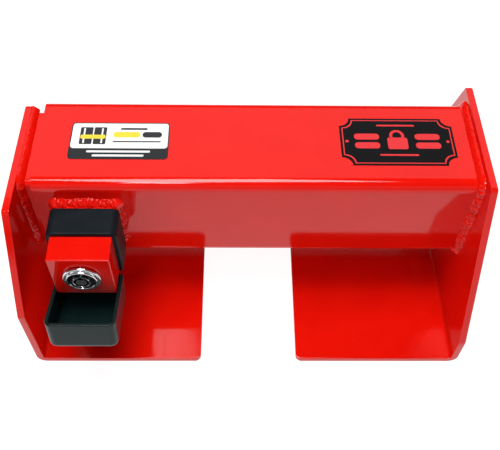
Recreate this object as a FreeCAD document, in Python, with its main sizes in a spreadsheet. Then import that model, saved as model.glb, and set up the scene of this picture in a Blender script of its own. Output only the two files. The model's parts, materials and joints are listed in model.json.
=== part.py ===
import FreeCAD, Part

import math
import os
import re

import Sketcher

# Adjustable lock for the two upright lock rods of a container or swing door.
# A square sleeve and a slider telescope along X.  Each carries a bent plate
# whose claw hooks behind one rod, and a push lock on the sleeve pins the slider.
# +Z is up, away from the doors, and +Y points away from the lock's face.
# "front" means -Y.  Lengths are in millimetres.

DIMENSIONS = {
    # Whole object
    "overall_width": 311.15,
    "wall": 4.76,
    "face_y": -27.340,
    # Telescoping beam
    "beam_height": 61.6,
    "sleeve_size": 76.2,
    "sleeve_corner": 7.0,
    "sleeve_bore_corner": 2.2,
    "sleeve_start": -141.5,
    "slide_clearance": 0.6,
    "slider_corner": 4.0,
    "slider_bore_corner": 0.5,
    "slider_end": 110.0,
    "bolt_hole_pitch": 25.4,
    "bolt_hole_count": 8,
    # Bent end plates, measured from the sleeve's front face
    "claw_width": 120.4,
    "claw_reach": 57.15,
    "base_depth": 190.5,
    "claw_corner": 4.5,
    "plate_corner": 3.0,
    "plate_edge": 0.5,
    "bend_radius": 2.5,
    "right_height": 145.8,
    "right_top_front": -8.8,
    "right_top_back": 82.9,
    "right_front_knee": 29.7,
    "right_back_knee": 29.7,
    "left_height": 136.9,
    "left_top_front": -20.6,
    "left_top_back": 71.0,
    "left_front_knee": 66.6,
    "left_back_knee": 10.9,
    # Weld beads
    "right_bead": 3.4,
    "left_bead": 4.5,
    "housing_bead": 4.7,
    # Lock housing and its bore
    "lock_x": -108.3,
    "housing_size": 39.6,
    "housing_length": 45.3,
    "housing_edge": 0.7,
    "bore_radius": 12.4,
    "bore_end": 6.0,
    "bolt_radius": 6.35,
    "bolt_hole_radius": 6.45,
    "slot_hole_radius": 6.9,
    "bolt_reach": 4.4,
    "lock_travel": 8.0,
    # Lock plug
    "plug_radius": 12.3,
    "plug_front": 48.3,
    "plug_back": 24.6,
    "plug_nose_radius": 8.5,
    "bezel_length": 3.0,
    "bezel_front": 48.8,
    "bezel_bevel": 2.2,
    "bezel_lip": 0.7,
    "cavity_front": 31.5,
    "cavity_radius": 8.5,
    "flange_thickness": 3.0,
    "stop_slot_width": 4.6,
    "stop_slot_depth": 2.4,
    "stop_pin_radius": 2.0,
    "stop_pin_back": 30.0,
    "stop_pin_tip": 10.4,
    "catch_radius": 2.25,
    "catch_back": 28.0,
    "catch_foot": 8.8,
    "catch_pocket": 2.5,
    # Key rotor
    "rotor_radius": 6.0,
    "rotor_hole_radius": 6.08,
    "rotor_front": 49.2,
    "rotor_back": 31.1,
    "keyway_outer": 4.9,
    "keyway_inner": 3.5,
    "keyway_depth": 6.0,
    "keyway_notch": 1.8,
    "tail_radius": 2.2,
    "tail_length": 3.6,
    "cam_radius": 7.6,
    "cam_thickness": 2.0,
    "cam_flat": 4.0,
    "pin_radius": 0.55,
    "pin_length": 2.5,
    "pin_count": 7,
    # Return spring
    "spring_radius": 9.0,
    "spring_wire": 0.7,
    "spring_turns": 4.0,
    "washer_radius": 11.6,
    "washer_thickness": 1.0,
    # Rubber boot and weather cap
    "boot_size": 45.6,
    "boot_back": 6.3,
    "boot_front": 27.3,
    "boot_corner": 5.0,
    "boot_edge": 1.2,
    "hinge_ahead": 0.8,
    "hinge_lift": 0.5,
    "hinge_bead_radius": 1.6,
    "hinge_bead_length": 36.0,
    "hinge_gap": 0.3,
    "cap_gap": 0.3,
    "cap_depth": 24.4,
    "cap_corner": 5.2,
    "cap_bore_corner": 0.9,
    "cap_lip": 4.0,
    "cap_end_lip": 1.8,
    "cap_taper": 0.3,
    "cap_wall": 2.3,
    "cap_lip_wall": 2.7,
    "cap_rim_edge": 0.8,
    "cap_end_radius": 4.8,
    "cap_open_angle": 75.0,
    # Stick-on labels
    "label_thickness": 0.3,
    "label_x": -87.4,
    "label_width": 66.0,
    "label_depth": 32.4,
    "badge_x": 98.9,
    "badge_width": 77.0,
    "badge_depth": 41.8,
    "label_back": 21.8,
    "badge_back": 17.7,
    "label_corner": 3.0,
}

document = FreeCAD.newDocument("RodLock")
bodies = []


def make_sheet():
    sheet = document.addObject("Spreadsheet::Sheet", "Dimensions")
    for row, (alias, value) in enumerate(DIMENSIONS.items(), start=1):
        sheet.set(f"A{row}", alias)
        sheet.set(f"B{row}", str(value))
        sheet.setAlias(f"B{row}", alias)
    document.recompute()
    return sheet


SHEET = make_sheet()


def size(alias):
    return float(SHEET.get(alias))


def cells(expression):
    """Point each dimension's name in an expression at its cell."""
    def to_cell(match):
        word = match.group(0)
        return f"Dimensions.{word}" if word in DIMENSIONS else word
    return re.sub(r"[a-z][a-z_]*", to_cell, str(expression))


# Places that several parts share
SLEEVE_BACK = "sleeve_size"
LOCK_AXIS = ("lock_x", "face_y", "beam_height + sleeve_size / 2")
HINGE_AXIS = (
    "lock_x",
    "face_y - boot_front - hinge_ahead",
    "beam_height + sleeve_size / 2 - boot_size / 2 + hinge_lift",
)
BEAM_ORIGIN = ("0", "face_y", "beam_height")
FACE_ORIGIN = ("0", "face_y", "0")
SLIDER_INSET = "(wall + slide_clearance)"
SLIDER_SIZE = "(sleeve_size - 2 * wall - 2 * slide_clearance)"
END_FACE = "(overall_width / 2 - wall)"


# ---------------------------------------------------------------- helpers

def place(item, origin):
    for axis, expression in zip("xyz", origin):
        item.setExpression(f"Placement.Base.{axis}", cells(expression))


def new_body(label, origin):
    body = document.addObject("PartDesign::Body", label)
    body.Label = label
    place(body, origin)
    bodies.append(body)
    return body


def new_sketch(body, role, offset="0"):
    """A sketch on one of the body's planes, moved along the plane's normal."""
    sketch = body.newObject("Sketcher::SketchObject", f"{body.Name}_sketch")
    plane = next(item for item in body.Origin.OriginFeatures if item.Role == role)
    sketch.AttachmentSupport = [(plane, "")]
    sketch.MapMode = "FlatFace"
    sketch.setExpression("AttachmentOffset.Base.z", cells(offset))
    return sketch


def side_sketch(body, x="0"):
    """Local axes are Y and Z, and a pad grows towards +X."""
    return new_sketch(body, "YZ_Plane", x)


def front_sketch(body, ahead="0"):
    """Local axes are X and Z, and a pad grows towards the front."""
    return new_sketch(body, "XZ_Plane", ahead)


def top_sketch(body, z="0"):
    """Local axes are X and Y, and a pad grows upwards."""
    return new_sketch(body, "XY_Plane", z)


def value_of(expression):
    """The number that an expression of dimensions stands for."""
    holder = document.getObject("Scratch")
    if holder is None:
        holder = document.addObject("App::FeaturePython", "Scratch")
        holder.addProperty("App::PropertyFloat", "Value")
    holder.setExpression("Value", cells(expression))
    holder.recompute()
    return holder.Value


def bind(sketch, kind, constraint, expression):
    index = sketch.addConstraint(constraint)
    name = f"{kind}{index}"
    sketch.renameConstraint(index, name)
    sketch.setExpression(f"Constraints.{name}", cells(expression))


def polygon(sketch, corners):
    """A closed outline whose corners are pairs of expressions."""
    points = [FreeCAD.Vector(value_of(u), value_of(v), 0) for u, v in corners]
    first = sketch.GeometryCount
    count = len(corners)
    for index in range(count):
        following = points[(index + 1) % count]
        sketch.addGeometry(Part.LineSegment(points[index], following))
    for index in range(count):
        line, following = first + index, first + (index + 1) % count
        sketch.addConstraint(Sketcher.Constraint("Coincident", line, 2, following, 1))
    for index, (u, v) in enumerate(corners):
        line = first + index
        across = Sketcher.Constraint("DistanceX", -1, 1, line, 1, points[index].x)
        along = Sketcher.Constraint("DistanceY", -1, 1, line, 1, points[index].y)
        bind(sketch, "across", across, u)
        bind(sketch, "along", along, v)


def rectangle(sketch, left, right, low, high):
    polygon(sketch, [(left, low), (right, low), (right, high), (left, high)])


def square(sketch, side):
    half = f"({side}) / 2"
    rectangle(sketch, f"-{half}", half, f"-{half}", half)


def circle(sketch, u, v, radius):
    centre = FreeCAD.Vector(value_of(u), value_of(v), 0)
    normal = FreeCAD.Vector(0, 0, 1)
    index = sketch.addGeometry(Part.Circle(centre, normal, value_of(radius)))
    bind(sketch, "across", Sketcher.Constraint("DistanceX", -1, 1, index, 3, centre.x), u)
    bind(sketch, "along", Sketcher.Constraint("DistanceY", -1, 1, index, 3, centre.y), v)
    rim = Sketcher.Constraint("Radius", index, value_of(radius))
    bind(sketch, "rim", rim, radius)


def pad(body, sketch, length):
    feature = body.newObject("PartDesign::Pad", f"{body.Name}_pad")
    feature.Profile = sketch
    feature.setExpression("Length", cells(length))
    document.recompute()
    return feature


def pocket(body, sketch, length, reverse=False):
    """Cut from the sketch against its normal, or along it when reversed."""
    feature = body.newObject("PartDesign::Pocket", f"{body.Name}_pocket")
    feature.Profile = sketch
    feature.Reversed = reverse
    feature.setExpression("Length", cells(length))
    before = body.Shape.Volume
    document.recompute()
    if body.Shape.Volume >= before:
        raise RuntimeError(f"{feature.Name} cuts nothing")
    return feature


def dress(body, kind, value_name, chosen, amount):
    """Fillet or chamfer the edges that chosen(edge) picks."""
    base = body.Tip
    names = [
        f"Edge{index}"
        for index, edge in enumerate(base.Shape.Edges, start=1)
        if chosen(edge)
    ]
    if not names:
        raise RuntimeError(f"{body.Name}: no edge to dress")
    feature = body.newObject(f"PartDesign::{kind}", f"{body.Name}_{kind.lower()}")
    feature.Base = (base, names)
    feature.setExpression(value_name, cells(amount))
    document.recompute()
    return feature


def round_edges(body, chosen, radius):
    return dress(body, "Fillet", "Radius", chosen, radius)


def bevel_edges(body, chosen, amount):
    return dress(body, "Chamfer", "Size", chosen, amount)


def runs_along(edge, axis):
    """Whether an edge is a straight line parallel to an axis."""
    if edge.Curve.TypeId != "Part::GeomLine":
        return False
    direction = edge.Curve.Direction
    return abs(abs(getattr(direction, axis)) - 1) < 1e-6


def middle(edge):
    return edge.BoundBox.Center


def sharp_edges_of(body):
    """A test that is true for the edges where the body's faces meet at an angle."""
    shape = body.Tip.Shape
    smooth_below = math.radians(20)

    def sharp(edge):
        faces = shape.ancestorsOfType(edge, Part.Face)
        if len(faces) != 2:
            return False
        point = edge.valueAt((edge.FirstParameter + edge.LastParameter) / 2)
        first, second = [face.normalAt(*face.Surface.parameter(point)) for face in faces]
        return first.getAngle(second) > smooth_below

    return sharp


def near(first, second):
    return abs(first - second) < 0.01


# ------------------------------------------------------------ telescoping beam

def square_tube(label, start, length, inset, side, corner, bore_corner):
    """A square tube along X with rounded corners, inset into the sleeve's section."""
    body = new_body(label, BEAM_ORIGIN)
    outline = side_sketch(body, start)
    rectangle(outline, inset, f"{inset} + {side}", inset, f"{inset} + {side}")
    pad(body, outline, length)
    round_edges(body, lambda edge: runs_along(edge, "x"), corner)
    bore = side_sketch(body, start)
    low, high = f"{inset} + wall", f"{inset} + {side} - wall"
    rectangle(bore, low, high, low, high)
    pocket(body, bore, length, reverse=True)
    inner_low = value_of(low)
    inner_high = value_of(high)

    def inner_corner(edge):
        at = middle(edge)
        flush = [near(at.y, inner_low) or near(at.y, inner_high),
                 near(at.z, inner_low) or near(at.z, inner_high)]
        return runs_along(edge, "x") and all(flush)

    round_edges(body, inner_corner, bore_corner)
    return body


def front_wall_hole(body, inset, radius):
    hole = front_sketch(body, "1")
    circle(hole, "lock_x", "sleeve_size / 2", radius)
    return hole, pocket(body, hole, f"{inset} + wall + 2")


def outer_sleeve():
    length = f"{END_FACE} - sleeve_start"
    body = square_tube("outer_sleeve", "sleeve_start", length, "0", "sleeve_size",
                       "sleeve_corner", "sleeve_bore_corner")
    front_wall_hole(body, "0", "slot_hole_radius")


def slider_tube():
    length = f"{END_FACE} + slider_end"
    body = square_tube("slider_tube", f"-{END_FACE}", length, SLIDER_INSET, SLIDER_SIZE,
                       "slider_corner", "slider_bore_corner")
    sketch, hole = front_wall_hole(body, SLIDER_INSET, "slot_hole_radius")
    row = body.newObject("PartDesign::LinearPattern", "slider_hole_row")
    row.Originals = [hole]
    row.Direction = (sketch, ["H_Axis"])
    row.setExpression("Length", cells("(bolt_hole_count - 1) * bolt_hole_pitch"))
    row.setExpression("Occurrences", cells("bolt_hole_count"))
    body.Tip = row
    document.recompute()


# ------------------------------------------------------------ bent end plates

def end_bracket(side, sign):
    """A plate bent into an upright end and a claw that points inwards."""
    body = new_body(f"{side}_end_bracket", FACE_ORIGIN)
    outer = f"{sign} * overall_width / 2"
    inner = f"{sign} * (overall_width / 2 - wall)"
    tip = f"{sign} * (overall_width / 2 - claw_width)"
    height = f"{side}_height"
    section = front_sketch(body, "claw_reach - base_depth")
    polygon(section, [(tip, "0"), (outer, "0"), (outer, height),
                      (inner, height), (inner, "wall"), (tip, "wall")])
    pad(body, section, "base_depth")
    outer_x, inner_x, tip_x = value_of(outer), value_of(inner), value_of(tip)
    wall = size("wall")

    def outer_bend(edge):
        return runs_along(edge, "y") and near(middle(edge).x, outer_x) and near(middle(edge).z, 0)

    def inner_bend(edge):
        return runs_along(edge, "y") and near(middle(edge).x, inner_x) and near(middle(edge).z, wall)

    round_edges(body, outer_bend, "bend_radius + wall")
    round_edges(body, inner_bend, "bend_radius")
    trim_outline(body, side)
    round_edges(body, lambda edge: runs_along(edge, "z") and near(middle(edge).x, tip_x),
                "claw_corner")
    above_bend = 2 * wall
    round_edges(body, lambda edge: runs_along(edge, "x") and middle(edge).z > above_bend,
                "plate_corner")
    round_edges(body, sharp_edges_of(body), "plate_edge")


def trim_outline(body, side):
    """Cut the upright end's slanted front and back edges."""
    front, back = "-claw_reach", "base_depth - claw_reach"
    over, past = f"{side}_height + wall", "wall"
    cuts = [
        [(f"{front} - {past}", f"{side}_front_knee"), (front, f"{side}_front_knee"),
         (f"{side}_top_front", f"{side}_height"), (f"{side}_top_front", over),
         (f"{front} - {past}", over)],
        [(f"{back} + {past}", f"{side}_back_knee"), (back, f"{side}_back_knee"),
         (f"{side}_top_back", f"{side}_height"), (f"{side}_top_back", over),
         (f"{back} + {past}", over)],
    ]
    for corners in cuts:
        outline = side_sketch(body, "overall_width")
        polygon(outline, corners)
        pocket(body, outline, "2 * overall_width")


# ------------------------------------------------------------ weld beads

def right_weld():
    """A fillet bead all round the sleeve's end, on the right end plate."""
    body = new_body("right_weld", BEAM_ORIGIN)
    outline = side_sketch(body, f"{END_FACE} - right_bead")
    rectangle(outline, "-right_bead", f"{SLEEVE_BACK} + right_bead",
              "-right_bead", f"{SLEEVE_BACK} + right_bead")
    pad(body, outline, "right_bead")
    round_edges(body, lambda edge: runs_along(edge, "x"), "sleeve_corner + right_bead")
    opening = side_sketch(body, f"{END_FACE} - right_bead")
    rectangle(opening, "0", "sleeve_size", "0", "sleeve_size")
    pocket(body, opening, "right_bead", reverse=True)
    side = size("sleeve_size")

    def opening_corner(edge):
        at = middle(edge)
        return (runs_along(edge, "x") and (near(at.y, 0) or near(at.y, side))
                and (near(at.z, 0) or near(at.z, side)))

    round_edges(body, opening_corner, "sleeve_corner")
    toe = value_of(f"{END_FACE} - right_bead")
    outer = side + size("right_bead")

    def toe_rim(edge):
        box = edge.BoundBox
        at_limit = [near(box.YMax, outer), near(box.ZMax, outer),
                    near(box.YMin, -size("right_bead")), near(box.ZMin, -size("right_bead"))]
        return near(box.XMax, toe) and any(at_limit)

    bevel_edges(body, toe_rim, "right_bead - 0.5")


def left_weld():
    """A bead over the slider's top, front and underside, on the left end plate."""
    body = new_body("left_weld", BEAM_ORIGIN)
    low, high = SLIDER_INSET, f"{SLIDER_INSET} + {SLIDER_SIZE}"
    outline = side_sketch(body, f"-{END_FACE}")
    rectangle(outline, f"{low} - left_bead", high, f"{low} - left_bead", f"{high} + left_bead")
    pad(body, outline, "left_bead")
    bevel_left_bead(body)
    opening = side_sketch(body, f"-{END_FACE}")
    rectangle(opening, low, f"{high} + 1", low, high)
    pocket(body, opening, "left_bead", reverse=True)
    low_value, high_value = value_of(low), value_of(high)

    def opening_corner(edge):
        at = middle(edge)
        return (runs_along(edge, "x") and near(at.y, low_value)
                and (near(at.z, low_value) or near(at.z, high_value)))

    round_edges(body, opening_corner, "slider_corner")


def bevel_left_bead(body):
    """Bevel the bead's outer edges on the side away from the plate."""
    bounds = body.Tip.Shape.BoundBox

    def rim(edge):
        box, at = edge.BoundBox, middle(edge)
        on_face = near(box.XMin, bounds.XMax) and near(box.XMax, bounds.XMax)
        outside = [near(at.y, bounds.YMin), near(at.z, bounds.ZMin), near(at.z, bounds.ZMax)]
        return on_face and any(outside)

    bevel_edges(body, rim, "left_bead - 0.6")


def housing_weld():
    """A bead round the lock housing, on the sleeve's face."""
    body = new_body("housing_weld", LOCK_AXIS)
    outline = front_sketch(body)
    square(outline, "housing_size + 2 * housing_bead")
    pad(body, outline, "housing_bead")
    front = -size("housing_bead")

    def front_rim(edge):
        return near(edge.BoundBox.YMin, front) and near(edge.BoundBox.YMax, front)

    bevel_edges(body, front_rim, "housing_bead - 0.6")
    opening = front_sketch(body, "housing_bead")
    square(opening, "housing_size")
    pocket(body, opening, "housing_bead")


# ------------------------------------------------------------ lock housing

def drill(body, front, back, radius):
    """A round hole along the lock's axis, between two distances ahead of the face."""
    outline = front_sketch(body, front)
    circle(outline, "0", "0", radius)
    pocket(body, outline, f"{front} - ({back})")


def turned(label, front, back, radius):
    """A disc or rod on the lock's axis, between two distances ahead of the face."""
    body = new_body(label, LOCK_AXIS)
    outline = front_sketch(body, back)
    circle(outline, "0", "0", radius)
    pad(body, outline, f"{front} - ({back})")
    return body


def lock_housing():
    body = new_body("lock_housing", LOCK_AXIS)
    outline = front_sketch(body)
    square(outline, "housing_size")
    pad(body, outline, "housing_length")
    front = -size("housing_length")
    round_edges(body, lambda edge: near(edge.BoundBox.YMin, front), "housing_edge")
    drill(body, "housing_length", "bore_end", "bore_radius")
    drill(body, "bore_end", "0", "bolt_hole_radius")
    stop_hole = top_sketch(body, "-housing_size / 2")
    circle(stop_hole, "0", "-stop_pin_back", "stop_pin_radius")
    pocket(body, stop_hole, "housing_size / 2 - stop_pin_tip", reverse=True)
    catch_hole = top_sketch(body, "0")
    circle(catch_hole, "0", "lock_travel - catch_back", "catch_radius + 0.2")
    pocket(body, catch_hole, "bore_radius + catch_pocket", reverse=True)


def stop_pin():
    """Pressed in from below, it runs in the plug's slot and ends its travel."""
    body = new_body("stop_pin", LOCK_AXIS)
    outline = top_sketch(body, "-housing_size / 2")
    circle(outline, "0", "-stop_pin_back", "stop_pin_radius")
    pad(body, outline, "housing_size / 2 - stop_pin_tip")


def spring_washer():
    body = turned("spring_washer", "bore_end + washer_thickness", "bore_end", "washer_radius")
    drill(body, "bore_end + washer_thickness", "bore_end", "bolt_radius + 0.4")


# ------------------------------------------------------------ push lock

def lock_plug():
    body = turned("lock_plug", "bezel_front - bezel_length", "plug_back", "plug_radius")
    nose = front_sketch(body, "bezel_front - bezel_length")
    circle(nose, "0", "0", "plug_nose_radius")
    pad(body, nose, "plug_front - bezel_front + bezel_length")
    drill(body, "plug_front", "cavity_front", "rotor_hole_radius")
    drill(body, "cavity_front", "plug_back", "cavity_radius")
    cut_stop_slot(body)
    catch_hole = top_sketch(body, "0")
    circle(catch_hole, "0", "-catch_back", "catch_radius + 0.05")
    pocket(body, catch_hole, "plug_radius + 1", reverse=True)


def cut_stop_slot(body):
    """A slot under the plug, as long as its travel, for the stop pin."""
    outline = top_sketch(body, "-plug_radius - 1")
    half = "stop_slot_width / 2"
    rectangle(outline, f"-{half}", half, f"-stop_pin_back - {half} - lock_travel",
              f"-stop_pin_back + {half}")
    pocket(body, outline, "stop_slot_depth + 1", reverse=True)


def lock_bezel():
    body = turned("lock_bezel", "bezel_front", "bezel_front - bezel_length", "plug_radius")
    front = -size("bezel_front")
    bevel_edges(body, lambda edge: near(edge.BoundBox.YMax, front), "bezel_bevel")
    drill(body, "bezel_front", "bezel_front - bezel_length", "plug_nose_radius")
    hole = size("plug_nose_radius")

    def inner_rim(edge):
        return near(edge.BoundBox.YMax, front) and near(edge.BoundBox.XMax, hole)

    bevel_edges(body, inner_rim, "bezel_lip")


def locking_bolt():
    body = turned("locking_bolt", "plug_back", "plug_back - flange_thickness", "plug_radius")
    shank = front_sketch(body, "-bolt_reach")
    circle(shank, "0", "0", "bolt_radius")
    pad(body, shank, "plug_back - flange_thickness + bolt_reach")
    tip = size("bolt_reach")
    bevel_edges(body, lambda edge: near(edge.BoundBox.YMin, tip), "0.8")


def catch_slug():
    """The spring catch in the plug's wall, flush while the plug is out."""
    body = new_body("catch_slug", LOCK_AXIS)
    outline = top_sketch(body, "catch_foot")
    circle(outline, "0", "-catch_back", "catch_radius")
    pad(body, outline, "plug_radius - 0.25 - catch_foot")


def return_spring():
    """A wire coil between the bolt's flange and the washer."""
    feature = document.addObject("Part::Feature", "return_spring")
    feature.Label = "return_spring"
    wire = size("spring_wire")
    start = size("bore_end") + size("washer_thickness") + wire + 0.05
    length = size("plug_back") - size("flange_thickness") - wire - 0.05 - start
    pitch = length / size("spring_turns")
    helix = Part.makeHelix(pitch, length, size("spring_radius"))
    ring = Part.Circle(FreeCAD.Vector(size("spring_radius"), 0, 0),
                       FreeCAD.Vector(0, 1, 0), wire)
    profile = Part.Wire(ring.toShape())
    coil = Part.Wire(helix.Edges).makePipeShell([profile], True, True)
    coil.Placement = FreeCAD.Placement(
        FreeCAD.Vector(0, -start, 0), FreeCAD.Rotation(FreeCAD.Vector(1, 0, 0), 90))
    feature.Shape = coil.copy()
    baked = feature.Shape.Placement
    origin = FreeCAD.Vector(*[value_of(expression) for expression in LOCK_AXIS])
    feature.Placement = FreeCAD.Placement(origin, FreeCAD.Rotation()).multiply(baked)
    bodies.append(feature)


# ------------------------------------------------------------ key rotor

def key_rotor():
    body = turned("key_rotor", "rotor_front", "rotor_back", "rotor_radius")
    tail = front_sketch(body, "rotor_back - tail_length")
    circle(tail, "0", "0", "tail_radius")
    pad(body, tail, "tail_length")
    keyway = front_sketch(body, "rotor_front")
    circle(keyway, "0", "0", "keyway_outer")
    circle(keyway, "0", "0", "keyway_inner")
    pocket(body, keyway, "keyway_depth")
    notch = front_sketch(body, "rotor_front")
    half = "keyway_notch / 2"
    rectangle(notch, f"-{half}", half, "keyway_inner - 0.6", "rotor_radius - 0.3")
    pocket(body, notch, "keyway_depth / 2")


def tumbler_pins():
    """A ring of pins at the bottom of the round keyway."""
    body = new_body("tumbler_pins", LOCK_AXIS)
    outline = front_sketch(body, "rotor_front - keyway_depth")
    for index in range(int(size("pin_count"))):
        turn = f"360 deg * {index + 0.5} / pin_count"
        reach = "(keyway_outer + keyway_inner) / 2"
        circle(outline, f"{reach} * sin({turn})", f"{reach} * cos({turn})", "pin_radius")
    pad(body, outline, "pin_length")


def rotor_cam():
    front, back = "rotor_back", "rotor_back - cam_thickness"
    body = turned("rotor_cam", front, back, "cam_radius")
    drill(body, front, back, "tail_radius")
    flat = front_sketch(body, front)
    rectangle(flat, "-cam_radius - 1", "cam_radius + 1", "-cam_radius - 1", "-cam_flat")
    pocket(body, flat, "cam_thickness + 1")


def cam_screw():
    """A cap on the rotor's tail that holds the cam on."""
    seat = "rotor_back - tail_length"
    body = turned("cam_screw", "rotor_back - cam_thickness", f"{seat} - 1.2", "tail_radius + 1.6")
    drill(body, "rotor_back - cam_thickness", seat, "tail_radius")


# ------------------------------------------------------------ boot and cap

def rubber_boot():
    body = new_body("rubber_boot", LOCK_AXIS)
    outline = front_sketch(body, "boot_back")
    square(outline, "boot_size")
    pad(body, outline, "boot_front - boot_back")
    round_edges(body, lambda edge: runs_along(edge, "y"), "boot_corner")
    round_edges(body, sharp_edges_of(body), "boot_edge")
    opening = front_sketch(body, "boot_front")
    square(opening, "housing_size")
    pocket(body, opening, "boot_front")
    hinge = side_sketch(body, "-hinge_bead_length / 2")
    circle(hinge, "-boot_front - hinge_ahead", "hinge_lift - boot_size / 2", "hinge_bead_radius")
    pad(body, hinge, "hinge_bead_length")


def loft(body, kind, near_sketch, far_sketch):
    feature = body.newObject(f"PartDesign::{kind}", f"{body.Name}_{kind.lower()}")
    feature.Profile = near_sketch
    feature.Sections = [far_sketch]
    document.recompute()
    return feature


def cap_section(body, ahead, inward, top_lift):
    """The cap's section at a distance ahead of its hinge, shrunk by inward."""
    half = f"boot_size / 2 - {inward}"
    sketch = front_sketch(body, ahead)
    rectangle(sketch, f"-({half})", half, f"{inward} - hinge_lift",
              f"boot_size - hinge_lift - {inward} + {top_lift}")
    return sketch


def weather_cap():
    """A tapered cup, drawn shut on its hinge axis and then swung open."""
    body = new_body("weather_cap", HINGE_AXIS)
    rim, end = "cap_gap - hinge_ahead", "cap_gap - hinge_ahead + cap_depth"
    outer_rim = cap_section(body, rim, "0", "cap_lip")
    outer_end = cap_section(body, end, "cap_taper", "cap_end_lip")
    loft(body, "AdditiveLoft", outer_rim, outer_end)
    end_y = -value_of(end)
    rim_y = -value_of(rim)
    round_edges(body, lambda edge: near(edge.BoundBox.YMax, rim_y)
                and near(edge.BoundBox.YMin, end_y), "cap_corner")
    round_edges(body, lambda edge: near(edge.BoundBox.YMax, end_y), "cap_end_radius")
    inner_rim = cap_section(body, rim, "cap_lip_wall", "cap_lip")
    inner_end = cap_section(body, f"{end} - cap_wall", "cap_wall + cap_taper",
                            "cap_end_lip")
    loft(body, "SubtractiveLoft", inner_rim, inner_end)
    floor_y = -value_of(f"{end} - cap_wall")
    round_edges(body, lambda edge: near(edge.BoundBox.YMax, rim_y)
                and near(edge.BoundBox.YMin, floor_y), "cap_bore_corner")
    round_edges(body, lambda edge: near(edge.BoundBox.YMax, rim_y)
                and near(edge.BoundBox.YMin, rim_y), "cap_rim_edge")
    groove = side_sketch(body, "hinge_bead_length / 2 + hinge_gap")
    circle(groove, "0", "0", "hinge_bead_radius + hinge_gap")
    pocket(body, groove, "hinge_bead_length + 2 * hinge_gap")
    body.Placement = FreeCAD.Placement(
        body.Placement.Base, FreeCAD.Rotation(FreeCAD.Vector(1, 0, 0), size("cap_open_angle")))


# ------------------------------------------------------------ labels

def label(name, x, back, width, depth):
    body = new_body(name, (x, f"face_y + {back}", "beam_height + sleeve_size"))
    outline = top_sketch(body)
    rectangle(outline, f"-{width} / 2", f"{width} / 2", "0", depth)
    pad(body, outline, "label_thickness")
    round_edges(body, lambda edge: runs_along(edge, "z"), "label_corner")


def build():
    outer_sleeve()
    slider_tube()
    end_bracket("right", 1)
    end_bracket("left", -1)
    right_weld()
    left_weld()
    housing_weld()
    lock_housing()
    stop_pin()
    spring_washer()
    return_spring()
    lock_plug()
    lock_bezel()
    locking_bolt()
    catch_slug()
    key_rotor()
    tumbler_pins()
    rotor_cam()
    cam_screw()
    rubber_boot()
    weather_cap()
    label("info_label", "label_x", "label_back", "label_width", "label_depth")
    label("name_badge", "badge_x", "badge_back", "badge_width", "badge_depth")


def check():
    document.recompute()
    for item in document.Objects:
        if "Invalid" in item.State or "Error" in item.State:
            raise RuntimeError(f"{item.Label}: {item.State}")
    for item in bodies:
        shape = item.Shape
        if shape.isNull() or not shape.isValid() or not shape.Solids:
            raise RuntimeError(f"{item.Label}: bad shape")


def export():
    os.makedirs("parts", exist_ok=True)
    whole = FreeCAD.BoundBox()
    for item in bodies:
        item.Shape.exportStep(f"parts/{item.Label}.step")
        whole.add(item.Shape.optimalBoundingBox(False))
    centre = whole.Center
    print(f"box {whole.XLength:.2f} x {whole.YLength:.2f} x {whole.ZLength:.2f} mm")
    print(f"centre x {centre.x:.3f}, y {centre.y:.3f}, lowest z {whole.ZMin:.3f}")


build()
check()
export()
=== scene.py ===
import json
import math

import bpy
from mathutils import Matrix, Vector


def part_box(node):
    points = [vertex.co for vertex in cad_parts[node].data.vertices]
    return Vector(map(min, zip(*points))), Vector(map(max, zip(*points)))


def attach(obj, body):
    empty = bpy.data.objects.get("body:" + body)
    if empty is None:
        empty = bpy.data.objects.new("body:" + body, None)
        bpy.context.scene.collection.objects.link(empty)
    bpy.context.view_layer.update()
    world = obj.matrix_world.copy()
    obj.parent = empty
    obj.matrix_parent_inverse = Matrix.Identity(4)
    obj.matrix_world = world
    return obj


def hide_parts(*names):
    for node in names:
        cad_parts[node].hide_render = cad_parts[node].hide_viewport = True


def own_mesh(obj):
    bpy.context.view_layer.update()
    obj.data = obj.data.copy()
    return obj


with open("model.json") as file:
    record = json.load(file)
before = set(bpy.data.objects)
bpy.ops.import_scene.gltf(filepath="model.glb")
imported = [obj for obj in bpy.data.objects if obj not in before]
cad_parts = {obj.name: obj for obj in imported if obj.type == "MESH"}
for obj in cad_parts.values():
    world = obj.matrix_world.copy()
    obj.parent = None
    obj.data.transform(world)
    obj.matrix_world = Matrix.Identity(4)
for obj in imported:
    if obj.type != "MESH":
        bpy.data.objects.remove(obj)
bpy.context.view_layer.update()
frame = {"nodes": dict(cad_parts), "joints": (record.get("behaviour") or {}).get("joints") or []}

MM = 0.001
nodes = frame["nodes"]


# ------------------------------------------------------------ places read from the frame

def joint(name):
    return next(item for item in frame["joints"] if item["name"] == name)


SLEEVE_LOW, SLEEVE_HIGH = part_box("outer_sleeve")
HOUSING_LOW, HOUSING_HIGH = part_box("lock_housing")
FACE_Y = SLEEVE_LOW.y
LOCK_CENTRE = Vector(joint("key_turn")["pos_m"])


# ------------------------------------------------------------ materials

def new_material(name):
    material = bpy.data.materials.new(name)
    material.use_nodes = True
    tree = material.node_tree
    tree.nodes.clear()
    output = tree.nodes.new("ShaderNodeOutputMaterial")
    shader = tree.nodes.new("ShaderNodeBsdfPrincipled")
    tree.links.new(shader.outputs["BSDF"], output.inputs["Surface"])
    return material, tree, shader


def noise(tree, scale, detail=2.0, roughness=0.5):
    """Noise in the object's own coordinates, which are the frame's, in metres."""
    place = tree.nodes.new("ShaderNodeTexCoord")
    texture = tree.nodes.new("ShaderNodeTexNoise")
    texture.inputs["Scale"].default_value = scale
    texture.inputs["Detail"].default_value = detail
    texture.inputs["Roughness"].default_value = roughness
    tree.links.new(place.outputs["Object"], texture.inputs["Vector"])
    return texture.outputs["Fac"]


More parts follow.
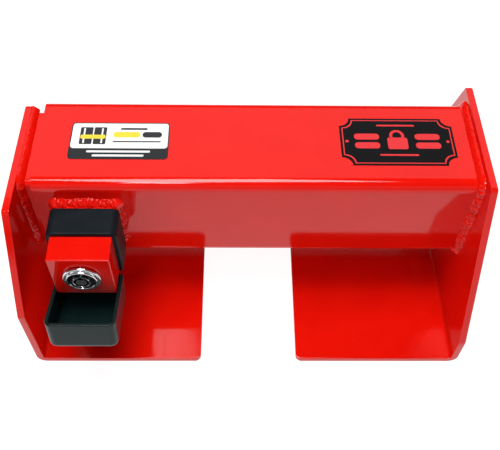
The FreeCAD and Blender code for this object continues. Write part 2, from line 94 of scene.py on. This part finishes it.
def remap(tree, value, low, high, from_low=0.0, from_high=1.0):
    node = tree.nodes.new("ShaderNodeMapRange")
    node.inputs["From Min"].default_value = from_low
    node.inputs["From Max"].default_value = from_high
    node.inputs["To Min"].default_value = low
    node.inputs["To Max"].default_value = high
    tree.links.new(value, node.inputs["Value"])
    return node.outputs["Result"]


def blend_colours(tree, factor, first, second):
    node = tree.nodes.new("ShaderNodeMix")
    node.data_type = "RGBA"
    node.inputs["A"].default_value = (*first, 1)
    node.inputs["B"].default_value = (*second, 1)
    tree.links.new(factor, node.inputs["Factor"])
    return node.outputs["Result"]


def bump(tree, shader, height, strength, distance):
    node = tree.nodes.new("ShaderNodeBump")
    node.inputs["Strength"].default_value = strength
    node.inputs["Distance"].default_value = distance
    tree.links.new(height, node.inputs["Height"])
    tree.links.new(node.outputs["Normal"], shader.inputs["Normal"])


def powder_coat(name, deep, light, roughness):
    """Glossy red powder coat, with slight orange peel and faint mottling."""
    material, tree, shader = new_material(name)
    mottle = noise(tree, 35.0, 3.0)
    colour = blend_colours(tree, remap(tree, mottle, 0, 1, 0.35, 0.65), deep, light)
    tree.links.new(colour, shader.inputs["Base Color"])
    rough = remap(tree, noise(tree, 90.0, 3.0), roughness * 0.85, roughness * 1.2)
    tree.links.new(rough, shader.inputs["Roughness"])
    shader.inputs["Specular IOR Level"].default_value = 0.37
    bump(tree, shader, noise(tree, 260.0, 2.0), 0.04, 0.0003)
    return material


def rubber(name, colour, lighter, roughness, gloss):
    material, tree, shader = new_material(name)
    mottle = noise(tree, 60.0, 4.0)
    mixed = blend_colours(tree, remap(tree, mottle, 0, 1, 0.35, 0.7), colour, lighter)
    tree.links.new(mixed, shader.inputs["Base Color"])
    rough = remap(tree, noise(tree, 160.0, 3.0), roughness * 0.85, roughness * 1.15)
    tree.links.new(rough, shader.inputs["Roughness"])
    shader.inputs["Specular IOR Level"].default_value = gloss
    bump(tree, shader, noise(tree, 900.0, 3.0), 0.12, 0.0002)
    return material


def metal(name, colour, lighter, roughness):
    material, tree, shader = new_material(name)
    mixed = blend_colours(tree, noise(tree, 250.0, 4.0), colour, lighter)
    tree.links.new(mixed, shader.inputs["Base Color"])
    shader.inputs["Metallic"].default_value = 1.0
    rough = remap(tree, noise(tree, 500.0, 3.0), roughness * 0.7, roughness * 1.3)
    tree.links.new(rough, shader.inputs["Roughness"])
    bump(tree, shader, noise(tree, 1200.0, 2.0), 0.05, 0.0001)
    return material


def printed(name, colour, gloss=0.5):
    material, tree, shader = new_material(name)
    shader.inputs["Specular IOR Level"].default_value = gloss
    darker = tuple(channel * 0.93 for channel in colour)
    mixed = blend_colours(tree, noise(tree, 120.0, 2.0), darker, colour)
    tree.links.new(mixed, shader.inputs["Base Color"])
    shader.inputs["Roughness"].default_value = 0.3
    bump(tree, shader, noise(tree, 700.0, 2.0), 0.03, 0.0001)
    return material


RED = powder_coat("red_powder_coat", (0.69, 0.0050, 0.0014), (0.73, 0.0060, 0.0018), 0.07)
BOOT = rubber("boot_rubber", (0.004, 0.007, 0.010), (0.008, 0.012, 0.016), 0.42, 0.10)
CAP = rubber("cap_rubber", (0.004, 0.012, 0.012), (0.006, 0.016, 0.016), 0.30, 0.20)
CHROME = metal("bright_chrome", (0.78, 0.79, 0.81), (0.90, 0.91, 0.93), 0.10)
STEEL = metal("plug_steel", (0.04, 0.046, 0.048), (0.07, 0.078, 0.08), 0.18)
DARK_STEEL = metal("rotor_steel", (0.30, 0.32, 0.32), (0.48, 0.50, 0.50), 0.16)
BRASS = metal("pin_brass", (0.60, 0.42, 0.16), (0.78, 0.60, 0.28), 0.25)
SPRING = metal("spring_steel", (0.36, 0.37, 0.39), (0.48, 0.49, 0.51), 0.25)

LABEL_WHITE = printed("label_white", (0.86, 0.86, 0.86))
LABEL_DARK = printed("label_dark", (0.020, 0.021, 0.023), 0.25)
LABEL_YELLOW = printed("label_yellow", (0.80, 0.62, 0.04))
LABEL_INK = printed("label_ink", (0.03, 0.03, 0.035), 0.25)
BADGE_BLACK = printed("badge_black", (0.004, 0.004, 0.005), 0.12)
BADGE_RED = printed("badge_red", (0.70, 0.03, 0.035), 0.3)

CAD_MATERIALS = {
    "outer_sleeve": RED,
    "slider_tube": RED,
    "right_end_bracket": RED,
    "left_end_bracket": RED,
    "lock_housing": RED,
    "right_weld": RED,
    "left_weld": RED,
    "housing_weld": RED,
    "rubber_boot": BOOT,
    "weather_cap": CAP,
    "lock_bezel": CHROME,
    "lock_plug": STEEL,
    "locking_bolt": STEEL,
    "catch_slug": STEEL,
    "key_rotor": DARK_STEEL,
    "tumbler_pins": BRASS,
    "rotor_cam": STEEL,
    "cam_screw": STEEL,
    "stop_pin": SPRING,
    "spring_washer": SPRING,
    "return_spring": SPRING,
    "info_label": LABEL_WHITE,
    "name_badge": BADGE_BLACK,
}


def dress_frame():
    for name, material in CAD_MATERIALS.items():
        mesh = nodes[name].data
        mesh.materials.clear()
        mesh.materials.append(material)


# ------------------------------------------------------------ meshes

SHARP_ANGLE = math.radians(38)
CORNER_STEPS = 8


def mesh_object(name, verts, faces, materials, body, smooth=True, face_materials=None):
    mesh = bpy.data.meshes.new(name)
    mesh.from_pydata([tuple(v) for v in verts], [], faces)
    for material in materials:
        mesh.materials.append(material)
    for index, polygon in enumerate(mesh.polygons):
        polygon.use_smooth = smooth
        if face_materials:
            polygon.material_index = face_materials[index]
    mesh.validate()
    if smooth:
        mesh.set_sharp_from_angle(angle=SHARP_ANGLE)
    mesh.update()
    item = bpy.data.objects.new(name, mesh)
    bpy.context.scene.collection.objects.link(item)
    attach(item, body)
    return item


def arc(centre, radius, start, end, steps):
    """Points on an arc in a plane, with the arc's outward directions."""
    found = []
    for step in range(steps + 1):
        angle = math.radians(start + (end - start) * step / steps)
        direction = Vector((math.cos(angle), math.sin(angle)))
        found.append((centre + direction * radius, direction))
    return found


def rounded_path(half_u, half_v, radius, open_side=False):
    """Round a rectangle with rounded corners; with open_side, without its +u side."""
    inner_u, inner_v = half_u - radius, half_v - radius
    turns = [((inner_u, inner_v), 0), ((-inner_u, inner_v), 90),
             ((-inner_u, -inner_v), 180), ((inner_u, -inner_v), 270)]
    if not open_side:
        found = []
        for centre, start in turns:
            found += arc(Vector(centre), radius, start, start + 90, CORNER_STEPS)
        found.append(found[0])
        return found
    found = [(Vector((half_u, half_v)), Vector((0, 1)))]
    for centre, start in turns[1:3]:
        found += arc(Vector(centre), radius, start, start + 90, CORNER_STEPS)
    found.append((Vector((half_u, -half_v)), Vector((0, -1))))
    return found


def resample(path, spacing):
    """Evenly spaced points and directions along a path."""
    lengths = [0.0]
    for (first, _), (second, _) in zip(path, path[1:]):
        lengths.append(lengths[-1] + (second - first).length)
    count = max(2, round(lengths[-1] / spacing))
    found, leg = [], 0
    for step in range(count + 1):
        want = lengths[-1] * step / count
        while leg < len(path) - 2 and lengths[leg + 1] < want:
            leg += 1
        run = lengths[leg + 1] - lengths[leg]
        share = (want - lengths[leg]) / run if run else 0.0
        place = path[leg][0].lerp(path[leg + 1][0], share)
        direction = path[leg][1].lerp(path[leg + 1][1], share).normalized()
        found.append((want, place, direction))
    return found


# ------------------------------------------------------------ lock face

LATHE_STEPS = 72


def lathe(name, body, front, profile, material):
    """Turn a closed profile of (radius, distance ahead of front) about the lock's axis."""
    verts, faces = [], []
    count = len(profile)
    for step in range(LATHE_STEPS):
        angle = 2 * math.pi * step / LATHE_STEPS
        for radius, ahead in profile:
            verts.append((LOCK_CENTRE.x + radius * MM * math.sin(angle),
                          front - ahead * MM,
                          LOCK_CENTRE.z + radius * MM * math.cos(angle)))
    for step in range(LATHE_STEPS):
        here, there = step * count, (step + 1) % LATHE_STEPS * count
        for index in range(count):
            after = (index + 1) % count
            faces.append((here + index, there + index, there + after, here + after))
    return mesh_object(name, verts, faces, [material], body)


def crest(radius, ahead, size, steps=6):
    """A rounded ridge in a profile, from its outer foot to its inner foot."""
    return [(radius + size * math.cos(math.pi * step / steps),
             ahead + size * math.sin(math.pi * step / steps)) for step in range(steps + 1)]


def make_bezel():
    """The chrome ring: an outer bead, a shallow channel and a raised inner lip."""
    low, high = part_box("lock_bezel")
    outer = (high.x - low.x) / 2 / MM
    depth = (high.y - low.y) / MM
    rim_height, bead = 0.9, 0.85
    channel = [(10.35, 1.15), (10.15, 1.9)]
    lip_radius, lip, lip_drop = 9.45, 0.70, 0.72
    bore_radius, bore_drop = 8.55, 1.0
    profile = [(outer, 0.0), (outer, rim_height)]
    profile += crest(outer - bead, rim_height, bead)[1:]
    profile += channel
    profile += crest(lip_radius, depth - lip_drop, lip)
    profile += [(bore_radius, depth - bore_drop), (bore_radius, 0.0)]
    bezel = lathe("bezel_ring", "push_lock", high.y, profile, CHROME)
    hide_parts("lock_bezel")


def make_rotor_ridges():
    """Short raised arcs round the keyway, on the rotor's face."""
    low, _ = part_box("key_rotor")
    verts, faces = [], []
    inner, outer, height, bevel = 5.05 * MM, 5.75 * MM, 0.22 * MM, 0.1 * MM
    ridge_count, spacing, first_angle, sweep = 5, 72, 14, math.radians(50)
    steps = 8
    for ridge in range(ridge_count):
        first = math.radians(spacing * ridge + first_angle)
        start = len(verts)
        for step in range(steps + 1):
            angle = first + sweep * step / steps
            for radius, ahead in ((inner, 0), (inner + bevel, height),
                                  (outer - bevel, height), (outer, 0)):
                verts.append((LOCK_CENTRE.x + radius * math.sin(angle), low.y - ahead,
                              LOCK_CENTRE.z + radius * math.cos(angle)))
        for step in range(steps):
            here, there = start + 4 * step, start + 4 * step + 4
            for index in range(4):
                after = (index + 1) % 4
                faces.append((here + index, here + after, there + after, there + index))
        faces.append(tuple(range(start, start + 4))[::-1])
        faces.append(tuple(range(start + 4 * steps, start + 4 * steps + 4)))
    ridges = mesh_object("rotor_ridges", verts, faces, [CHROME], "rotor")


def make_spring():
    """The plug's return coil, built at one fixed length; the real one shortens as the lock is
    pushed in.
    """
    low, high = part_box("return_spring")
    wire, slack = 0.7 * MM, 0.2 * MM
    radius = (high.x - low.x) / 2 - wire
    middle = (low + high) / 2
    turns, steps, sides = 4, 40, 8
    verts, faces = [], []
    for step in range(turns * steps + 1):
        angle = 2 * math.pi * step / steps
        along = low.y + wire + (high.y - low.y - 2 * wire) * step / (turns * steps)
        outward = Vector((math.cos(angle), 0, math.sin(angle)))
        for side in range(sides):
            round_wire = 2 * math.pi * side / sides
            centre = Vector((middle.x, along, middle.z)) + outward * radius
            offset = outward * math.cos(round_wire) + Vector((0, math.sin(round_wire), 0))
            verts.append(centre + offset * wire)
    for step in range(turns * steps):
        for side in range(sides):
            here, after = step * sides + side, step * sides + (side + 1) % sides
            faces.append((here, after, after + sides, here + sides))
    faces.append(tuple(range(sides))[::-1])
    faces.append(tuple(range(turns * steps * sides, (turns * steps + 1) * sides)))
    coil = mesh_object("return_coil", verts, faces, [SPRING], "sleeve_side")
    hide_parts("return_spring")
    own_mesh(coil)


# ------------------------------------------------------------ weld beads

BEAD_SPACING = 0.45 * MM
BEAD_SIDES = 9
BEAD_PITCH = 2.7 * MM
BEAD_ROOT = 0.2 * MM
BEAD_SWEEP = 1.1 * MM
BEAD_DRIFT = 0.35 * BEAD_PITCH
FACES_FRONT = -0.7


def wander(distance, seed):
    """A slow, smooth unevenness between about -1 and 1."""
    return 0.6 * math.sin(distance * 310 + seed) + 0.4 * math.sin(distance * 733 + 2.1 * seed)


def weld_bead(name, body, node, centre, u, v, away, path, leg, ripple, closed):
    """A hand-laid fillet bead: overlapping ripples along a path between two steel faces."""
    stations = resample(path, BEAD_SPACING)
    if closed:
        stations = stations[:-1]
    verts, faces = [], []
    ring = BEAD_SIDES + 2
    for distance, place, direction in stations:
        root = centre + u * place.x + v * place.y
        outward = u * direction.x + v * direction.y
        roughness = ripple(outward)
        verts.append(root - outward * BEAD_ROOT)
        for side in range(BEAD_SIDES + 1):
            share = side / BEAD_SIDES
            hump = 4 * share * (1 - share)
            drift = BEAD_DRIFT * wander(distance * 0.6, 5.0)
            wave = abs(math.sin(math.pi * (distance + drift - BEAD_SWEEP * hump) / BEAD_PITCH))
            lumps = 0.75 + 0.45 * wander(distance * 2.3, side * 1.3)
            size = leg * (1 + roughness * (wave - 0.6) * (0.35 + 0.65 * hump) * lumps
                          + 0.5 * roughness * wander(distance, leg * 9000)
                          + 0.25 * roughness * wander(distance * 3.1, side * 0.9))
            bulge = 0.10 * hump * size
            reach, rise = size * (1 - share) + bulge, size * share + bulge
            verts.append(root + outward * reach + away * rise)
    count = len(stations)
    for index in range(count if closed else count - 1):
        here, there = index * ring, (index + 1) % count * ring
        for side in range(ring):
            after = (side + 1) % ring
            faces.append((here + side, here + after, there + after, there + side))
    if not closed:
        faces.append(tuple(range(ring)))
        faces.append(tuple(range((count - 1) * ring, count * ring))[::-1])
    bead = mesh_object(name, verts, faces, [RED], body)
    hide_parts(node)


def make_welds():
    along_y, along_z, along_x = Vector((0, 1, 0)), Vector((0, 0, 1)), Vector((1, 0, 0))

    def right_ripple(outward):
        return 0.38 if outward.y < FACES_FRONT else 0.08

    def left_ripple(outward):
        return 0.12 if outward.y < FACES_FRONT else 0.05

    def housing_ripple(outward):
        return 0.34

    middle = (SLEEVE_LOW + SLEEVE_HIGH) / 2
    half = (SLEEVE_HIGH.z - SLEEVE_LOW.z) / 2
    path = rounded_path(half, half, 7.0 * MM)
    end = Vector((SLEEVE_HIGH.x, middle.y, middle.z))
    weld_bead("weld_right", "sleeve_side", "right_weld", end, along_y, along_z, -along_x,
              path, 3.9 * MM, right_ripple, True)

    slider_low, slider_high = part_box("slider_tube")
    half = (slider_high.z - slider_low.z) / 2
    path = rounded_path(half, half, 4.0 * MM, open_side=True)
    end = Vector((slider_low.x, middle.y, middle.z))
    weld_bead("weld_left", "slider_side", "left_weld", end, along_y, along_z, along_x,
              path, 4.4 * MM, left_ripple, False)

    middle = (HOUSING_LOW + HOUSING_HIGH) / 2
    half = (HOUSING_HIGH.x - HOUSING_LOW.x) / 2
    path = rounded_path(half, half, 0.8 * MM)
    end = Vector((middle.x, FACE_Y, middle.z))
    weld_bead("weld_housing", "sleeve_side", "housing_weld", end, along_x, along_z, -along_y,
              path, 4.4 * MM, housing_ripple, True)


# ------------------------------------------------------------ printed labels

SHACKLE_STEPS = 14


def rounded_box(left, front, right, back, radius):
    """The outline of a flat rectangle with rounded corners."""
    centre = Vector(((left + right) / 2, (front + back) / 2))
    path = rounded_path((right - left) / 2, (back - front) / 2, radius)[:-1]
    return [centre + place for place, _ in path]


def ticket(left, front, right, back, radius):
    """The outline of a plaque whose corners are scooped out."""
    points = []
    for corner, start in [((right, back), 270), ((left, back), 0),
                          ((left, front), 90), ((right, front), 180)]:
        scoop = arc(Vector(corner), radius, start, start - 90, CORNER_STEPS)
        points += [place for place, _ in scoop]
    return points


def printed_sheet(name, node, layers, materials):
    """Flat printed layers on the sleeve's top: (outline, bottom, top, material number)."""
    verts, faces, tones = [], [], []
    for outline, low, high, tone in layers:
        start, count = len(verts), len(outline)
        verts += [(p.x, p.y, low) for p in outline] + [(p.x, p.y, high) for p in outline]
        faces.append(tuple(range(start + count, start + 2 * count)))
        faces.append(tuple(range(start, start + count))[::-1])
        tones += [tone, tone]
        for index in range(count):
            after = (index + 1) % count
            faces.append((start + index, start + after, start + count + after,
                          start + count + index))
            tones.append(tone)
    sheet = mesh_object(name, verts, faces, materials, "sleeve_side", False, tones)
    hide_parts(node)


def bar(x, y, width, height):
    """A bar centred on a point, with rounded ends."""
    radius = min(width, height) * 0.45
    return rounded_box(x - width / 2, y - height / 2, x + width / 2, y + height / 2, radius)


def padlock(x, y, scale):
    """A plain padlock sign: its body and its shackle, as two outlines."""
    half, wide, narrow = 3.4 * scale, 2.5 * scale, 1.5 * scale
    body = rounded_box(x - half, y - 4.2 * scale, x + half, y + 1.0 * scale, 0.8 * scale)
    bend = Vector((x, y + 1.9 * scale))
    outer = [place for place, _ in arc(bend, wide, 0, 180, SHACKLE_STEPS)]
    inner = [place for place, _ in arc(bend, narrow, 180, 0, SHACKLE_STEPS)]
    low = y + 0.9 * scale
    shackle = ([Vector((x + wide, low))] + outer + [Vector((x - wide, low))]
               + [Vector((x - narrow, low))] + inner + [Vector((x + narrow, low))])
    return body, shackle


FILM = 0.25 * MM
INK = 0.04 * MM
DOOR_PLACE = 15 * MM
DOOR_SPACING = 4.6 * MM
DOOR_HALF_WIDTH, DOOR_HALF_HEIGHT = 4.2 * MM, 7.6 * MM
BADGE_SCOOP = 7.0 * MM
BADGE_PADLOCK = 2.0 * MM
BADGE_BAR = 17 * MM, 5.4 * MM
BADGE_RULE = 26 * MM, 1.5 * MM


def make_info_label():
    low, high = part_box("info_label")
    base = low.z
    film, first, second = base + FILM, base + FILM + INK, base + FILM + 2 * INK
    dark, white, yellow, grey = 0, 1, 2, 3
    edge = 0.8 * MM
    band = low.y + 9.4 * MM
    centre = (low.x + high.x) / 2
    layers = [
        (rounded_box(low.x, low.y, high.x, high.y, 3.0 * MM), base, film, dark),
        (rounded_box(low.x + edge, band, high.x - edge, high.y - edge, 2.3 * MM),
         film, first, white),
    ]
    panel = (band + high.y - edge) / 2

    def ink(outline, tone):
        layers.append((outline, first, second, tone))

    # Two door leaves with a lock bar across their rods
    for side in (-1, 1):
        x = low.x + DOOR_PLACE + side * DOOR_SPACING
        ink(rounded_box(x - DOOR_HALF_WIDTH, panel - DOOR_HALF_HEIGHT,
                        x + DOOR_HALF_WIDTH, panel + DOOR_HALF_HEIGHT, 0.8 * MM), grey)
        layers.append((bar(x + side * 1.4 * MM, panel, 1.1 * MM, 13.4 * MM),
                       second, second + INK, white))
    layers.append((bar(low.x + DOOR_PLACE, panel - 1.0 * MM, 17.0 * MM, 3.6 * MM),
                   second + INK, second + 2 * INK, yellow))
    # Bars in the place of words
    ink(bar(centre + 9 * MM, panel + 6.2 * MM, 18 * MM, 1.7 * MM), grey)
    ink(bar(centre + 4.5 * MM, panel + 1.0 * MM, 18 * MM, 5.0 * MM), yellow)
    ink(bar(centre + 21.5 * MM, panel + 1.0 * MM, 13 * MM, 5.0 * MM), grey)
    ink(bar(centre + 11.5 * MM, panel - 5.2 * MM, 32 * MM, 1.1 * MM), grey)
    for y, width in ((low.y + 6.6 * MM, 42 * MM), (low.y + 3.1 * MM, 34 * MM)):
        layers.append((bar(centre, y, width, 1.7 * MM), film, first, white))
    printed_sheet("info_sticker", "info_label", layers,
                  [LABEL_DARK, LABEL_WHITE, LABEL_YELLOW, LABEL_INK])


def make_badge():
    low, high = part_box("name_badge")
    base = low.z
    film, first = base + FILM, base + FILM + INK
    black, red = 0, 1
    middle = (low + high) / 2
    layers = [(ticket(low.x, low.y, high.x, high.y, BADGE_SCOOP), base, film, black)]
    for inset, tone, top in ((1.5 * MM, red, first), (2.3 * MM, black, first + INK)):
        layers.append((ticket(low.x + inset, low.y + inset, high.x - inset, high.y - inset,
                              BADGE_SCOOP), film, top, tone))
    level = first + INK

    def ink(outline):
        layers.append((outline, level, level + INK, red))

    for outline in padlock(middle.x, middle.y + 1.5 * MM, BADGE_PADLOCK):
        ink(outline)
    for side in (-1, 1):
        x = middle.x + side * 20.5 * MM
        ink(bar(x, middle.y + 4.2 * MM, *BADGE_BAR))
        ink(bar(x, middle.y - 3.6 * MM, *BADGE_BAR))
        ink(bar(middle.x + side * 34.0 * MM, middle.y, 2.2 * MM, 2.2 * MM))
    ink(bar(middle.x, middle.y - 12.0 * MM, *BADGE_RULE))
    ink(bar(middle.x, middle.y + 14.4 * MM, *BADGE_RULE))
    printed_sheet("badge_sticker", "name_badge", layers,
                  [BADGE_BLACK, BADGE_RED])


# ------------------------------------------------------------ stage

FLOOR_SIDE = 6.0
FLOOR_DROP = 0.0002
LIGHTS = [
    # name, place, target, width, depth and power
    ("overhead", (-0.063, -0.043, 0.95), (0, 0, 0.1), 0.42, 0.56, 8.7),
    ("behind", (0.0, 1.2, 1.3), (0, 0, 0.1), 2.2, 0.55, 3.3),
    ("front", (-0.1, -1.6, 0.75), (0, 0, 0.08), 3.2, 1.3, 4.2),
    ("spot", (-0.16, -0.465, 0.95), (-0.06, -0.03, 0.1), 0.12, 0.13, 1.2),
]
CAMERA_PITCH, CAMERA_YAW, CAMERA_ROLL = 54.511, 1.698, 1.597
CAMERA_PLACE = Vector((-8.58 * MM, FACE_Y - 294.55 * MM, 508.19 * MM))
CAMERA_SENSOR, CAMERA_LENS = 36.0, 53.2


def make_floor():
    material, tree, shader = new_material("pale_floor")
    tone = blend_colours(tree, noise(tree, 3.0), (0.19, 0.19, 0.19), (0.21, 0.21, 0.21))
    tree.links.new(tone, shader.inputs["Base Color"])
    shader.inputs["Emission Color"].default_value = (1, 1, 1, 1)
    shader.inputs["Emission Strength"].default_value = 0.93
    shader.inputs["Roughness"].default_value = 0.9
    shader.inputs["Specular IOR Level"].default_value = 0.1
    mesh = bpy.data.meshes.new("floor")
    half = FLOOR_SIDE / 2
    mesh.from_pydata([(-half, -half, 0), (half, -half, 0), (half, half, 0), (-half, half, 0)],
                     [], [(0, 1, 2, 3)])
    mesh.materials.append(material)
    floor = bpy.data.objects.new("floor", mesh)
    bpy.context.scene.collection.objects.link(floor)
    floor.location.z = -FLOOR_DROP


def area_light(name, place, target, width, depth, power):
    light = bpy.data.lights.new(name, "AREA")
    light.shape = "RECTANGLE"
    light.size = width
    light.size_y = depth
    light.energy = power
    item = bpy.data.objects.new(name, light)
    bpy.context.scene.collection.objects.link(item)
    item.location = place
    direction = Vector(target) - Vector(place)
    item.rotation_euler = direction.to_track_quat("-Z", "Y").to_euler()


def light_scene():
    world = bpy.data.worlds.new("studio")
    bpy.context.scene.world = world
    world.use_nodes = True
    background = world.node_tree.nodes["Background"]
    background.inputs["Color"].default_value = (1, 1, 1, 1)
    background.inputs["Strength"].default_value = 0.05
    for light in LIGHTS:
        area_light(*light)


def place_camera():
    """The viewing angle of a photograph taken from above the lock's face."""
    angles = (CAMERA_PITCH, CAMERA_YAW, CAMERA_ROLL)
    pitch, yaw, roll = (math.radians(angle) for angle in angles)
    forward = Vector((math.sin(yaw) * math.cos(pitch), math.cos(yaw) * math.cos(pitch),
                      -math.sin(pitch)))
    level = Vector((math.cos(yaw), -math.sin(yaw), 0))
    above = level.cross(forward)
    right = level * math.cos(roll) + above * math.sin(roll)
    up = above * math.cos(roll) - level * math.sin(roll)
    camera = bpy.data.objects.new("camera", bpy.data.cameras.new("camera"))
    bpy.context.scene.collection.objects.link(camera)
    turn = Matrix((right, up, -forward)).transposed().to_4x4()
    camera.matrix_world = Matrix.Translation(CAMERA_PLACE) @ turn
    camera.data.sensor_width = CAMERA_SENSOR
    camera.data.lens = CAMERA_LENS
    bpy.context.scene.camera = camera


dress_frame()
make_bezel()
make_rotor_ridges()
make_spring()
make_welds()
make_info_label()
make_badge()
make_floor()
light_scene()
place_camera()
bpy.context.scene.view_settings.view_transform = "Standard"

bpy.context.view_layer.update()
